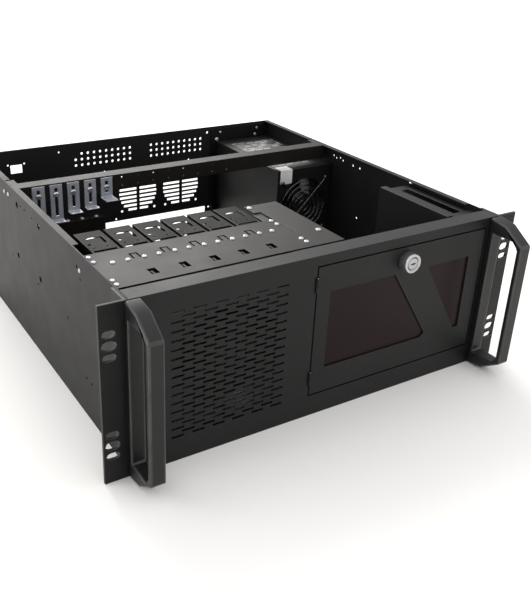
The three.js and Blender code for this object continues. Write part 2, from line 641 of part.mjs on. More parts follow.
function psuCase() {
  const { wall, raise } = PSU;
  const [x0, x1] = [PSU_X, PSU_X + PSU.width];
  const [y0, y1] = [PSU_Y, PSU_Y + PSU.length];
  const [z0, z1] = [raise, raise + PSU.height];
  const slots = Array.from({ length: 9 }, (_, k) =>
    centredRect((x0 + x1) / 2, z0 + 50 + k * 9, 58, 4.5));
  const rear = slab('y', rect(x0, z0, x1, z1), y1 - wall, y1, [
    ...slots,
    centredRect(x0 + INLET.x, z0 + INLET.z, INLET.width, INLET.height, GAP),
    centredRect(x0 + ROCKER.x, z0 + ROCKER.z, ROCKER.width, ROCKER.height, GAP),
  ]);
  const front = slab('y', rect(x0, z0, x1, z1), y0, y0 + wall,
    [disc(PSU_FAN_X, PSU_FAN_Z, PSU_FAN.bore, 28)]);
  const sleeve = slab('y', rect(x0, z0, x1, z1), y0, y1,
    [rect(x0 + wall, z0 + wall, x1 - wall, z1 - wall)]);
  return join(sleeve, front, rear);
}

function fanGuard() {
  const [x, z, wire, sides] = [PSU_FAN_X, PSU_FAN_Z, 1.8, 16];
  const back = PSU_Y - GAP;
  const rings = [10, 18.5, 27, 35.5].map((radius) =>
    tube('y', x, z, radius + wire / 2, radius - wire / 2, back - wire, back, sides));
  const reach = PSU_FAN.holes / 2;
  const off = wire / 2 / Math.SQRT2;
  const spokes = [1, -1].map((sign) => slab('y', [
    [-reach - off, sign * (-reach + off)], [-reach + off, sign * (-reach - off)],
    [reach + off, sign * (reach - off)], [reach - off, sign * (reach + off)],
  ].map(([u, v]) => [x + u, z + v]), back - wire, back));
  return join(...rings, ...spokes);
}

function psuInlet() {
  const [x, z] = [PSU_X + INLET.x, PSU.raise + INLET.z];
  const y1 = BEFORE_REAR;
  const body = slab('y', centredRect(x, z, INLET.width, INLET.height), y1 - 18, y1);
  const socket = slab('y', centredRect(x, z, INLET.width - 5, INLET.height - 5), y1 - 13, y1 + 1);
  const pins = [-7, 0, 7].map((dx) =>
    block(x + dx - 1, x + dx + 1, y1 - 14, y1 - 6, z - 2 + (dx ? 0 : 3), z + 2 + (dx ? 0 : 3)));
  return join(cut(body, socket), ...pins);
}

// The rocker turns about a line along X through its middle, just behind the rear face.
const ROCKER_TILT = 0.16;
function psuSwitch() {
  const [x, z] = [PSU_X + ROCKER.x, PSU.raise + ROCKER.z];
  const y1 = BEFORE_REAR;
  const half = ROCKER.height / 2 - 0.7;
  const outline = [
    [y1 - 9, z - half + 2], [y1 + 0.2 - ROCKER_TILT * half, z - half], [y1 - 1.2, z],
    [y1 + 0.2 + ROCKER_TILT * half, z + half], [y1 - 9, z + half - 2],
  ];
  const side = ROCKER.width / 2 - 0.7;
  return slab('x', outline, x - side, x + side);
}

// ---------------------------------------------------------------- door
function windowOutlines(grow = 0) {
  const left = DOOR_LEFT + WINDOW_MARGIN.left;
  const right = DOOR_RIGHT - WINDOW_MARGIN.right;
  const top = DOOR_TOP - WINDOW_MARGIN.top + grow;
  const bottom = DOOR_BOTTOM + WINDOW_MARGIN.bottom - grow;
  const barTop = right - WINDOW_FOOT - WINDOW_SLANT;
  const corner = 5;
  return [
    [
      [left - grow, bottom], [barTop - WINDOW_BAR + WINDOW_SLANT + grow - corner, bottom],
      [barTop - WINDOW_BAR + WINDOW_SLANT + grow, bottom + corner],
      [barTop - WINDOW_BAR + grow, top], [left - grow, top],
    ],
    [
      [barTop - grow, top], [right + grow, top], [right + grow, bottom],
      [barTop + WINDOW_SLANT - grow, bottom],
    ],
  ];
}

const lockCentre = { x: DOOR_LEFT + LOCK.x, z: DOOR_TOP - LOCK.drop };

function doorPanel() {
  const { x, z } = lockCentre;
  const holes = [...windowOutlines(), disc(x, z, LOCK.body + 0.5, 20)];
  const [x0, x1, z0, z1] = [DOOR_LEFT, DOOR_RIGHT, DOOR_BOTTOM, DOOR_TOP];
  const folded = join(
    slab('y', rect(x0, z0, x1, z1), 0, FRONT_SHEET, holes),
    block(x1 - SHEET, x1, 0, DOOR_FOLD, z0, z1),
    block(x0 + 4, x1, 0, DOOR_FOLD, z0, z0 + SHEET),
    block(x0 + 4, x1, 0, DOOR_FOLD, z1 - SHEET, z1),
  );
  return cut(folded, ...hingeNotches(HINGE_X, HINGE_X + notchReach));
}

function pane(index) {
  return slab('y', windowOutlines(PANE_LAP)[index], FRONT_SHEET + GAP, FRONT_SHEET + GAP + PANE);
}

// Half a hinge: a knuckle on the pin, and a leaf behind the panel it carries.
function hingeLeaf(z, sign) {
  const low = sign < 0 ? z : z + HINGE.length / 2 + 0.2;
  const high = low + HINGE.length / 2 - 0.2;
  const y = -HINGE.forward;
  const order = (a, b) => (a < b ? [a, b] : [b, a]);
  const leaf = [FRONT_SHEET + GAP, FRONT_SHEET + GAP + SHEET];
  const whole = join(
    rod('z', HINGE_X, y, HINGE.radius, low, high, 12),
    block(...order(HINGE_X + sign * 1.2, HINGE_X + sign * HINGE.radius), y, leaf[1], low, high),
    block(...order(HINGE_X + sign * 1.2, HINGE_X + sign * HINGE.leaf), ...leaf, low, high),
  );
  return cut(whole, rod('z', HINGE_X, y, HINGE.pin + HINGE.play, low - 1, high + 1, 12));
}

const hingePin = (z) => rod('z', HINGE_X, -HINGE.forward, HINGE.pin, z - 0.6, z + HINGE.length + 0.6, 12);

function lockBarrel() {
  const { x, z } = lockCentre;
  const bore = LOCK.plug + 0.25;
  return join(
    tube('y', x, z, LOCK.head, bore, -LOCK.reach, -GAP, 24),
    tube('y', x, z, LOCK.body, bore, -GAP, FRONT_SHEET + LOCK.behind, 24),
  );
}

function lockPlug() {
  const { x, z } = lockCentre;
  const end = FRONT_SHEET + LOCK.behind;
  const whole = join(
    rod('y', x, z, LOCK.plug, -LOCK.reach - 0.4, end, 20),
    rod('y', x, z, LOCK.tail, end - 1, end + CAM.thickness + 1.6, 12),
  );
  return cut(whole, block(x - 3.4, x + 3.4, -LOCK.reach - 2, -LOCK.reach + 6, z - 0.6, z + 0.6));
}

function lockCam() {
  const { x, z } = lockCentre;
  const half = CAM.width / 2;
  const front = FRONT_SHEET + LOCK.behind + 0.6;
  const outline = [
    [x - half, z - half], [x + CAM.length - 3, z - half], [x + CAM.length, z - half + 3],
    [x + CAM.length, z + half - 3], [x + CAM.length - 3, z + half], [x - half, z + half],
  ];
  return slab('y', outline, front, front + CAM.thickness, [disc(x, z, LOCK.tail + GAP, 12)]);
}

// ---------------------------------------------------------------- recess behind the door
const buttonPlace = (button) => [WALL_INSIDE - button.fromWall, button.z];

function controlPan() {
  const grow = PAN_MARGIN;
  const [x0, x1] = [DOOR_LEFT - DOOR_GAP - grow, DOOR_RIGHT + DOOR_GAP + grow];
  const [z0, z1] = [DOOR_BOTTOM - DOOR_GAP - grow, BODY_HEIGHT - SHEET - 1];
  const [y0, y1] = [BEHIND_FRONT, BEHIND_FRONT + PAN_DEPTH];
  const holes = [POWER, RESET].map((button) =>
    disc(...buttonPlace(button), button.radius + BUTTON_CLEARANCE, 16));
  return join(
    slab('y', rect(x0, z0, x1, z1), y1 - SHEET, y1, holes),
    slab('y', rect(x0, z0, x1, z1), y0, y1, [rect(x0 + SHEET, z0 + SHEET, x1 - SHEET, z1 - SHEET)]),
  );
}

function button(size, proud) {
  const [x, z] = buttonPlace(size);
  const behind = BEHIND_FRONT + PAN_DEPTH + GAP;
  return join(
    rod('y', x, z, size.radius, behind - proud, behind + 1, 16),
    rod('y', x, z, size.radius + 2, behind, behind + 1.6, 16),
    rod('y', x, z, size.radius * 0.5, behind + 1, behind + 8, 8),
  );
}

// A contact block on two legs behind the recess; the stems of both buttons slide in it.
function switchBlock() {
  const [x] = buttonPlace(POWER);
  const half = SWITCH_BLOCK.width / 2;
  const back = BEHIND_FRONT + PAN_DEPTH + GAP;
  const front = back + 1.6 + POWER.travel + 1;
  const z0 = RESET.z - RESET.radius - SWITCH_BLOCK.beyond;
  const z1 = POWER.z + POWER.radius + SWITCH_BLOCK.beyond;
  const holes = [POWER, RESET].map((button) =>
    disc(...buttonPlace(button), button.radius * 0.5 + 0.3, 12));
  const { depth, leg } = SWITCH_BLOCK;
  return join(
    slab('y', rect(x - half, z0, x + half, z1), front, front + depth, holes),
    block(x - half, x + half, back, front + 1, z0, z0 + leg),
    block(x - half, x + half, back, front + 1, z1 - leg, z1),
  );
}

// ---------------------------------------------------------------- assembly
const enclosure = new THREE.Group();
enclosure.position.y = (HANDLE_REACH - BODY_DEPTH) / 2;

function place(name, geometry, material) {
  const mesh = new THREE.Mesh(geometry, material);
  mesh.name = name;
  enclosure.add(mesh);
}

place('chassis_tray', chassisTray(), GREY_COAT);
place('front_panel', frontPanel(), BLACK_COAT);
place('rear_panel', rearPanel(), BLACK_COAT);
for (const [side, sign] of [['left', -1], ['right', 1]]) {
  place(`rack_ear_${side}`, rackEar(sign), BLACK_COAT);
  place(`handle_${side}`, handle(sign), GREY_COAT);
  place(`cage_side_${side}`, cageSide(sign), BLACK_COAT);
}
for (let k = 0; k < SLOTS; k += 1) place(`slot_cover_${k + 1}`, slotCover(k), GREY_COAT);
place('card_bar', cardBar(), GREY_COAT);
for (let k = 0; k < HOLD_DOWN_LENGTHS.length; k += 1) {
  place(`card_hold_down_${k + 1}`, holdDown(k), ZINC);
}
place('cage_cover', cageCover(), GREY_COAT);
for (let k = 0; k < DRIVES - 1; k += 1) place(`cage_divider_${k + 1}`, cageDivider(k), BLACK_COAT);
for (let k = 0; k < DRIVES; k += 1) place(`drive_tray_${k + 1}`, driveTray(k), GREY_COAT);
place('cage_support', supportBracket(), GREY_COAT);
place('bay_bracket', bayBracket(), GREY_COAT);

place('intake_fan_frame', fanFrame(INTAKE, GRILLE_MIDDLE.x, GRILLE_MIDDLE.z, BEHIND_FRONT),
  BLACK_PLASTIC);
place('intake_fan_rotor', fanRotor(INTAKE, GRILLE_MIDDLE.x, GRILLE_MIDDLE.z, BEHIND_FRONT),
  BLACK_PLASTIC);

place('psu_case', psuCase(), BLACK_COAT);
const psuFanFront = PSU_Y + PSU.wall + GAP;
place('psu_fan_frame', fanFrame(PSU_FAN, PSU_FAN_X, PSU_FAN_Z, psuFanFront), BLACK_PLASTIC);
place('psu_fan_rotor', fanRotor(PSU_FAN, PSU_FAN_X, PSU_FAN_Z, psuFanFront), BLACK_PLASTIC);
place('psu_fan_guard', fanGuard(), CHROME);
place('psu_inlet', psuInlet(), BLACK_PLASTIC);
place('psu_switch', psuSwitch(), BLACK_PLASTIC);

place('control_pan', controlPan(), BLACK_COAT);
place('power_button', button(POWER, 6), BLACK_PLASTIC);
place('reset_button', button(RESET, 4), BLACK_PLASTIC);
place('switch_block', switchBlock(), BLACK_PLASTIC);

place('door_panel', doorPanel(), BLACK_COAT);
place('door_window_left', pane(0), ACRYLIC);
place('door_window_right', pane(1), ACRYLIC);
for (const [name, z] of [['lower', hingeHeights[0]], ['upper', hingeHeights[1]]]) {
  place(`hinge_leaf_case_${name}`, hingeLeaf(z, -1), BLACK_COAT);
  place(`hinge_leaf_door_${name}`, hingeLeaf(z, 1), BLACK_COAT);
  place(`hinge_pin_${name}`, hingePin(z), ZINC);
}
place('lock_barrel', lockBarrel(), CHROME);
place('lock_plug', lockPlug(), CHROME);
place('lock_cam', lockCam(), ZINC);

export default enclosure;
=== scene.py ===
# %% [markdown]
# # A rack storage enclosure, finished in Blender
# This script adds what CAD leaves out: powder coat, zinc and chrome, screws, fan blades, wire
# guard and labels. All lengths are metres in the CAD frame: +X right, +Y to the back, +Z up,
# floor at z = 0.

import json
import math

import bmesh
import bpy
from mathutils import Matrix, Vector


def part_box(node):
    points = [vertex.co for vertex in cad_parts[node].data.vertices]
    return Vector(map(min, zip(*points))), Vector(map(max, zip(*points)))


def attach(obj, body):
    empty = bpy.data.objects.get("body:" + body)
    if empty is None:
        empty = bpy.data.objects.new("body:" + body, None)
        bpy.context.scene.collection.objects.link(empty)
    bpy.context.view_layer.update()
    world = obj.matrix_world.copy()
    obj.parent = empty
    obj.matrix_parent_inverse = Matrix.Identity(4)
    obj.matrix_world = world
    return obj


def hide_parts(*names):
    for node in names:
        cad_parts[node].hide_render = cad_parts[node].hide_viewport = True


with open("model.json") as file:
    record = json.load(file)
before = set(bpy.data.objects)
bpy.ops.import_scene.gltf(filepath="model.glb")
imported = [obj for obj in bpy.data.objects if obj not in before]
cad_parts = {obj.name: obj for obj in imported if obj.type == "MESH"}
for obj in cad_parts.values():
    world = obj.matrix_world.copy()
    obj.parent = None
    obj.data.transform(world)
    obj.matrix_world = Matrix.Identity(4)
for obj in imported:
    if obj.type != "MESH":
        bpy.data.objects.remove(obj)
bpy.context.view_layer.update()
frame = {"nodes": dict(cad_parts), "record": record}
NODES = frame["nodes"]
MM = 0.001
FRONT_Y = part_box("front_panel")[0].y


def case(x, y, z):
    """A point given in millimetres, with y counted back from the front panel's face."""
    return Vector((x * MM, FRONT_Y + y * MM, z * MM))


def middle(node):
    low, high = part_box(node)
    return (low + high) / 2


# %% [markdown]
# ## Finishes
# Powder coat is a plastic skin that is baked on steel. It has a fine orange-peel texture, faint
# patches where it is thicker, and a gloss that changes a little from place to place. One builder
# makes every finish from three noise layers: broad patches for colour, medium ones for gloss and
# a fine grain for bump. Numbers that are the same all over are set on the shader itself.

# %% One builder for every finish
def add_noise(tree, scale, detail=4.0, roughness=0.5, stretch=None):
    coordinates = tree.nodes.new("ShaderNodeTexCoord")
    noise = tree.nodes.new("ShaderNodeTexNoise")
    noise.inputs["Scale"].default_value = scale
    noise.inputs["Detail"].default_value = detail
    noise.inputs["Roughness"].default_value = roughness
    source = coordinates.outputs["Object"]
    if stretch is not None:
        mapping = tree.nodes.new("ShaderNodeMapping")
        mapping.inputs["Scale"].default_value = stretch
        tree.links.new(source, mapping.inputs["Vector"])
        source = mapping.outputs["Vector"]
    tree.links.new(source, noise.inputs["Vector"])
    return noise.outputs["Fac"]


def add_ramp(tree, source, stops):
    ramp = tree.nodes.new("ShaderNodeValToRGB")
    tree.links.new(source, ramp.inputs["Fac"])
    ramp.color_ramp.elements[0].position, first = stops[0]
    ramp.color_ramp.elements[0].color = (*first, 1)
    ramp.color_ramp.elements[1].position, last = stops[-1]
    ramp.color_ramp.elements[1].color = (*last, 1)
    for position, colour in stops[1:-1]:
        ramp.color_ramp.elements.new(position).color = (*colour, 1)
    return ramp.outputs["Color"]


def add_range(tree, source, low, high):
    node = tree.nodes.new("ShaderNodeMapRange")
    node.inputs["From Min"].default_value = 0.3
    node.inputs["From Max"].default_value = 0.7
    node.inputs["To Min"].default_value = low
    node.inputs["To Max"].default_value = high
    tree.links.new(source, node.inputs["Value"])
    return node.outputs["Result"]


def finish(name, dark, light, gloss, patch=9.0, grain=1500.0, height=0.00004, stretch=None,
           **constants):
    """A material from dark to light patches, roughness within gloss, and a fine bump."""
    material = bpy.data.materials.new(name)
    material.use_nodes = True
    tree = material.node_tree
    shader = tree.nodes["Principled BSDF"]
    for socket, value in constants.items():
        shader.inputs[socket.replace("_", " ")].default_value = value
    broad = add_noise(tree, patch, 5.0, 0.6, stretch)
    colour = add_ramp(tree, broad, [(0.35, dark), (0.65, light)])
    tree.links.new(colour, shader.inputs["Base Color"])
    medium = add_noise(tree, patch * 4, 3.0, 0.5, stretch)
    tree.links.new(add_range(tree, medium, *gloss), shader.inputs["Roughness"])
    bump = tree.nodes.new("ShaderNodeBump")
    bump.inputs["Strength"].default_value = 0.6
    bump.inputs["Distance"].default_value = height
    tree.links.new(add_noise(tree, grain, 2.0, 0.5, stretch), bump.inputs["Height"])
    tree.links.new(bump.outputs["Normal"], shader.inputs["Normal"])
    return material


def grey(value, warm=0.02):
    """A grey that leans a little to red, as the coat does."""
    return (value * (1 + warm), value, value * (1 - warm))


COAT = finish("powder_coat", grey(0.0065), grey(0.0085), (0.45, 0.5), Specular_IOR_Level=0.24)
# Darker copy of the coat for the painted_grey parts, mostly inside the case: painted shade.
COAT_INSIDE_SHADED = finish("powder_coat_inside_painted_shade", grey(0.0045), grey(0.006), (0.47, 0.52),
                     Specular_IOR_Level=0.2)
# Lighter, warmer copy of the coat for the parts in TOPS: painted light where light falls on the
# tops.
COAT_TOP_LIT = finish("powder_coat_top_painted_light", grey(0.0095, 0.16), grey(0.012, 0.16), (0.44, 0.5),
                  Specular_IOR_Level=0.17)
COAT_TRAY = finish("powder_coat_tray", grey(0.0055, 0.1), grey(0.0075, 0.1), (0.5, 0.56),
                   Specular_IOR_Level=0.06)
# Lighter copy of the coat for the rear panel: painted light on its inner face.
COAT_REAR_LIT = finish("powder_coat_rear_painted_light", grey(0.0105), grey(0.013), (0.47, 0.52),
                   Specular_IOR_Level=0.2)
# Lighter copy of the coat for the power supply case: painted light on its top and front.
COAT_PSU_LIT = finish("powder_coat_psu_painted_light", grey(0.0085), grey(0.011), (0.42, 0.5),
                  Specular_IOR_Level=0.3)
COAT_HANDLE = finish("powder_coat_handle", grey(0.0065), grey(0.009), (0.43, 0.5),
                     Specular_IOR_Level=0.34)
# A slightly darker copy of the coat for the rack ears, set to the light they get: painted shade.
COAT_EAR_SHADED = finish("powder_coat_ear_painted_shade", grey(0.0055), grey(0.0075), (0.45, 0.5),
                  Specular_IOR_Level=0.22)
# Lighter coat for the bevel faces: a painted highlight along the edges.
COAT_EDGE_HIGHLIGHT = finish("powder_coat_edge_painted_highlight", grey(0.018), grey(0.035), (0.3, 0.4), patch=60.0,
                   Specular_IOR_Level=0.5)
ZINC = finish("zinc_plate", (0.46, 0.47, 0.51), (0.66, 0.67, 0.72), (0.24, 0.4), patch=40.0,
              grain=700.0, Metallic=1.0)
# Lighter zinc for the bevel faces: a painted highlight along the edges.
ZINC_EDGE_HIGHLIGHT = finish("zinc_edge_painted_highlight", (0.6, 0.6, 0.64), (0.8, 0.8, 0.84), (0.2, 0.3), patch=60.0,
                   Metallic=1.0)
BRACKET = finish("dull_zinc", (0.3, 0.315, 0.36), (0.38, 0.395, 0.445), (0.5, 0.6), patch=50.0,
                 grain=800.0, Metallic=0.35)
CHROME = finish("chrome", (0.34, 0.34, 0.35), (0.42, 0.42, 0.44), (0.26, 0.34), patch=30.0,
                grain=900.0, height=0.00001, Metallic=1.0)
# Lighter chrome for the lock barrel than for the plug: a painted reflection on the barrel's side.
BARREL_CHROME_LIT = finish("barrel_chrome_painted_light", (0.4, 0.4, 0.41), (0.52, 0.52, 0.53), (0.24, 0.32), patch=30.0,
                grain=900.0, height=0.00001, Metallic=0.9)
PLASTIC = finish("black_plastic", grey(0.008), grey(0.014), (0.38, 0.5), patch=30.0,
                 grain=1100.0, height=0.00003, Specular_IOR_Level=0.5)
ACRYLIC = finish("smoked_acrylic", (0.013, 0.0062, 0.0064), (0.0155, 0.0075, 0.0078), (0.3, 0.33),
                 patch=5.0, grain=300.0, height=0.000001, Alpha=0.97, Specular_IOR_Level=0.11)
GLOSSY_PLASTIC = finish("glossy_plastic", grey(0.02), grey(0.03), (0.2, 0.28), patch=30.0,
                        grain=900.0, height=0.00001, Specular_IOR_Level=0.7)
ACRYLIC.surface_render_method = "BLENDED"
print("finishes:", [m.name for m in bpy.data.materials])


# %% [markdown]
# ## Folded metal
# Sheet metal never has a knife edge: cutting and coating leave a radius of a few tenths of a
# millimetre, and that radius catches the light as a thin bright line. CAD leaves the edges square.
# Modelling each radius by hand would take long, so a short stack of modifiers does it: weld,
# dissolve flat triangles, bevel, then weight the normals to the large faces. The bevel gets its own
# lighter finish, a painted highlight on top of the light that the radius catches.

# %% A modifier stack for every CAD node
def soften(piece, width, segments=2, highlight_slot=1):
    weld = piece.modifiers.new("weld", "WELD")
    weld.merge_threshold = 0.000002
    flat = piece.modifiers.new("flat", "DECIMATE")
    flat.decimate_type = "DISSOLVE"
    flat.angle_limit = math.radians(0.6)
    bevel = piece.modifiers.new("bevel", "BEVEL")
    bevel.width = width
    bevel.segments = segments
    bevel.limit_method = "ANGLE"
    bevel.angle_limit = math.radians(40)
    bevel.use_clamp_overlap = True
    # The bevel faces take the second slot, the lighter edge finish, which paints a highlight on
    # them.
    bevel.material = highlight_slot
    normals = piece.modifiers.new("normals", "WEIGHTED_NORMAL")
    normals.keep_sharp = False


def dress(node, body_finish, edge_finish, width=0.0003, segments=2, slot=None):
    piece = NODES[node]
    piece.data.materials.clear()
    piece.data.materials.append(body_finish)
    piece.data.materials.append(edge_finish)
    piece.data.shade_smooth()
    soften(piece, width, segments)


# These parts take the lighter top coat, with light painted into their colour.
TOPS = ("cage_cover", "cage_support", "card_bar", "slot_cover")


def look_of(node, slot):
    """The body finish and edge finish of a CAD node."""
    if node.startswith("handle"):
        return COAT_HANDLE, COAT_EDGE_HIGHLIGHT
    if node.startswith("rack_ear"):
        return COAT_EAR_SHADED, COAT_EDGE_HIGHLIGHT
    if node.startswith("card_hold_down"):
        return BRACKET, ZINC_EDGE_HIGHLIGHT
    if node.startswith(TOPS):
        return COAT_TOP_LIT, COAT_EDGE_HIGHLIGHT
    if node.startswith("drive_tray"):
        return COAT_TRAY, COAT_EDGE_HIGHLIGHT
    if node == "rear_panel":
        return COAT_REAR_LIT, COAT_EDGE_HIGHLIGHT
    if node == "psu_case":
        return COAT_PSU_LIT, COAT_EDGE_HIGHLIGHT
    return LOOKS[slot]


SLOT_OF = {row["node"]: row["material_slot"] for row in frame["record"]["subparts"]}
LOOKS = {
    "painted_black": (COAT, COAT_EDGE_HIGHLIGHT),
    "painted_grey": (COAT_INSIDE_SHADED, COAT_EDGE_HIGHLIGHT),
    "zinc": (ZINC, ZINC_EDGE_HIGHLIGHT),
    "chrome": (CHROME, CHROME),
    "black_plastic": (PLASTIC, PLASTIC),
    "smoked_acrylic": (ACRYLIC, ACRYLIC),
}
WIDTHS = {
    "handle_left": 0.0022, "handle_right": 0.0022, "rack_ear_left": 0.0005,
    "rack_ear_right": 0.0005, "door_panel": 0.0004, "front_panel": 0.00035,
    "psu_case": 0.0003, "intake_fan_frame": 0.0006, "psu_fan_frame": 0.0005,
    "power_button": 0.0005, "reset_button": 0.0004, "psu_inlet": 0.0005, "psu_switch": 0.0006,
}
for node in sorted(NODES):
    slot = SLOT_OF[node]
    segments = 4 if node.startswith("handle") else 2
    dress(node, *look_of(node, slot), WIDTHS.get(node, 0.00025), segments, slot)
print("dressed", len(NODES), "nodes")


# %% [markdown]
# ## A helper for new pieces
# Every added piece is made from points and faces, joined to the CAD body it is fixed to, and
# named for what it is.

# %% Making a piece from a bmesh
def new_piece(name, mesh_builder, material, body, replaces=(), smooth=True):
    mesh = bpy.data.meshes.new(name)
    builder = bmesh.new()
    mesh_builder(builder)
    bmesh.ops.recalc_face_normals(builder, faces=builder.faces)
    builder.to_mesh(mesh)
    builder.free()
    piece = bpy.data.objects.new(name, mesh)
    bpy.context.scene.collection.objects.link(piece)
    mesh.materials.append(material)
    if smooth:
        mesh.shade_smooth()
        mesh.set_sharp_from_angle(angle=math.radians(35))
    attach(piece, body)
    if replaces:
        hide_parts(*replaces)
    return piece


def toward(normal):
    """A rotation that turns +Z to the given direction."""
    return Vector((0, 0, 1)).rotation_difference(Vector(normal)).to_matrix().to_4x4()


def add_lathe(builder, profile, at, normal, turns=48):
    """A closed profile of (radius, height) pairs turned round an axis through a point."""
    place = Matrix.Translation(at) @ toward(normal)
    rings = []
    for radius, height in profile:
        if radius == 0:
            rings.append([builder.verts.new(place @ Vector((0, 0, height)))])
            continue
        rings.append([
            builder.verts.new(place @ Vector((
                radius * math.cos(2 * math.pi * i / turns),
                radius * math.sin(2 * math.pi * i / turns), height)))
            for i in range(turns)])
    for inner, outer in zip(rings, rings[1:] + rings[:1]):
        if len(inner) == 1 and len(outer) == 1:
            continue
        for i in range(turns):
            j = (i + 1) % turns
            if len(inner) == 1:
                builder.faces.new((inner[0], outer[i], outer[j]))
            elif len(outer) == 1:
                builder.faces.new((inner[i], inner[j], outer[0]))
            else:
                builder.faces.new((inner[i], inner[j], outer[j], outer[i]))


# %% [markdown]
# ## Screws
# The trays, the cage and the slot covers are held by small pan-head screws with a cross recess.
# They are the brightest points on the dark case. A turned profile gives the domed head, and the
# vertices of the inner rings that lie on two crossing arms are pushed down to make the recess.

# %% A pan-head screw
def add_screw(builder, at, normal, radius=0.0029, height=0.0016, spin=0.4):
    turns = 32
    place = Matrix.Translation(at) @ toward(normal) @ Matrix.Rotation(spin, 4, "Z")
    profile = [(0.12, 1.0), (0.3, 0.99), (0.5, 0.95), (0.68, 0.86), (0.85, 0.66), (0.96, 0.36),
               (1.0, 0.12), (1.0, 0.0)]
    centre = builder.verts.new(place @ Vector((0, 0, height * 0.35)))
    rings = []
    for share, rise in profile:
        ring = []
        for i in range(turns):
            angle = 2 * math.pi * i / turns
            off_arm = min(i % 8, 8 - i % 8)
            on_arm = share <= 0.12 or (share <= 0.6 and off_arm <= (1 if share < 0.4 else 0))
            z = height * (0.35 if on_arm else rise)
            ring.append(builder.verts.new(place @ Vector((
                radius * share * math.cos(angle), radius * share * math.sin(angle), z))))
        rings.append(ring)
    base = builder.verts.new(place @ Vector((0, 0, 0)))
    for i in range(turns):
        j = (i + 1) % turns
        builder.faces.new((centre, rings[0][i], rings[0][j]))
        for inner, outer in zip(rings, rings[1:]):
            builder.faces.new((inner[i], outer[i], outer[j], inner[j]))
        builder.faces.new((base, rings[-1][j], rings[-1][i]))


def screws(name, places, normal, radius=0.0029, body="case", material=ZINC):
    def build(builder):
        for n, at in enumerate(places):
            add_screw(builder, at, normal, radius, radius * 0.55, 0.4 + 0.77 * n)
    return new_piece(name, build, material, body)


# %% Screws on the drive cage
cover_low, cover_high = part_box("cage_cover")
cover_top = cover_high.z
tray_x = [middle(f"drive_tray_{k}").x for k in range(1, 7)]
row = [Vector((x + side * 0.0074, case(0, 76.5, 0).y, cover_top)) for x in tray_x
       for side in (-1, 1)]
screws("tray_screws", row, (0, 0, 1), 0.0026)
left_x, right_x = cover_low.x + 0.0034, cover_high.x - 0.004
corners = [Vector((left_x, case(0, y, 0).y, cover_top)) for y in (33, 42, 84, 96)]
corners += [Vector((right_x, case(0, y, 0).y, cover_top)) for y in (38, 47, 89.5, 100)]
screws("cage_corner_screws", corners, (0, 0, 1), 0.0025)
support_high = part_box("cage_support")[1]
support = [case(-10.4, 141.5, 0), case(19.1, 58.2, 0)]
screws("support_screws", [Vector((p.x, p.y, support_high.z)) for p in support], (0, 0, 1), 0.003)
bay_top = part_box("bay_bracket")[1]
screws("bay_screw", [Vector((bay_top.x - 0.0035, case(0, 130, 0).y, bay_top.z))], (0, 0, 1),
       0.003)
print("cage screws:", len(row) + len(corners) + len(support) + 1)

# %% Screws on the slots, the card bar and the walls
slot_screws = []
for k in range(1, 8):
    low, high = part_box(f"slot_cover_{k}")
    slot_screws.append(Vector((middle(f"slot_cover_{k}").x, high.y - 0.0045, high.z)))
screws("slot_screws", slot_screws, (0, 0, 1), 0.0033)
for k in range(1, 6):
    low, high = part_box(f"card_hold_down_{k}")
    face = high.y - 0.0012
    at = Vector((middle(f"card_hold_down_{k}").x, face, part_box("card_bar")[1].z - 0.013))
    screws(f"hold_down_screw_{k}", [at], (0, -1, 0), 0.0034)
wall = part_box("chassis_tray")
left_wall = [(338, 164), (323, 165), (107.2, 158.7)]
screws("left_wall_screws", [Vector((wall[0].x, *case(0, y, z).yz)) for y, z in left_wall],
       (-1, 0, 0), 0.0022)
rear_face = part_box("rear_panel")[1].y - 0.0012
rear_dots = [(126.4, 157.6, 3.2), (132.2, 167.8, 2.0), (192.2, 158.7, 2.4), (194.8, 168.1, 2.0)]
for n, (x, z, radius) in enumerate(rear_dots):
    at = Vector((x * MM, rear_face - 0.0009, z * MM))
    screws(f"rear_screw_{n + 1}", [at], (0, -1, 0), radius * MM)


# %% [markdown]
# ## The card bar's dimples
# Along the rear edge of the bar, small pressed dimples stiffen the fold. Each is a low dome.

# %% Dimples along the bar
bar_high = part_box("card_bar")[1]


def build_dimples(builder):
    for k in range(14):
        x = -0.1975 + k * 0.0302
        at = Vector((x, case(0, 316, 0).y, bar_high.z - 0.0006))
        add_lathe(builder, [(0, 0.0006), (0.0009, 0.0005), (0.0016, 0.0003), (0.002, 0), (0, 0)],
                  at, (0, 0, 1), 16)


# The dimples take the lighter edge coat, a painted highlight on the domes.
new_piece("bar_dimples", build_dimples, COAT_EDGE_HIGHLIGHT, "case")


# %% [markdown]
# ## The lock
# A cam lock has a turned barrel with a rounded rim, and a plug that sits a little deeper in it
# and carries the keyhole. CAD keeps both coarse. Both are turned again here from smooth
# profiles of the same size, so that the chrome reflects cleanly.

# %% Barrel and plug
barrel_low, barrel_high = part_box("lock_barrel")
plug_low, plug_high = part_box("lock_plug")
lock_at = Vector((middle("lock_barrel").x, barrel_low.y, middle("lock_barrel").z))
barrel_r = (barrel_high.x - barrel_low.x) / 2
barrel_l = barrel_high.y - barrel_low.y
plug_r = (plug_high.x - plug_low.x) / 2


def build_barrel(builder):
    bore = plug_r + 0.0003
    neck = barrel_r * 0.85
    back = (0.0107, 0.0108)
    profile = [
        (bore, 0.0012), (bore + 0.0004, 0.0006), (bore + 0.0012, 0.0002), (barrel_r - 0.0016, 0),
        (barrel_r - 0.0005, 0.0003), (barrel_r - 0.0001, 0.001), (barrel_r, 0.002),
        (barrel_r, back[0] - 0.0006), (barrel_r - 0.0004, back[0]), (neck, back[1]),
        (neck, barrel_l), (bore, barrel_l),
    ]
    add_lathe(builder, profile, lock_at, (0, 1, 0), 72)


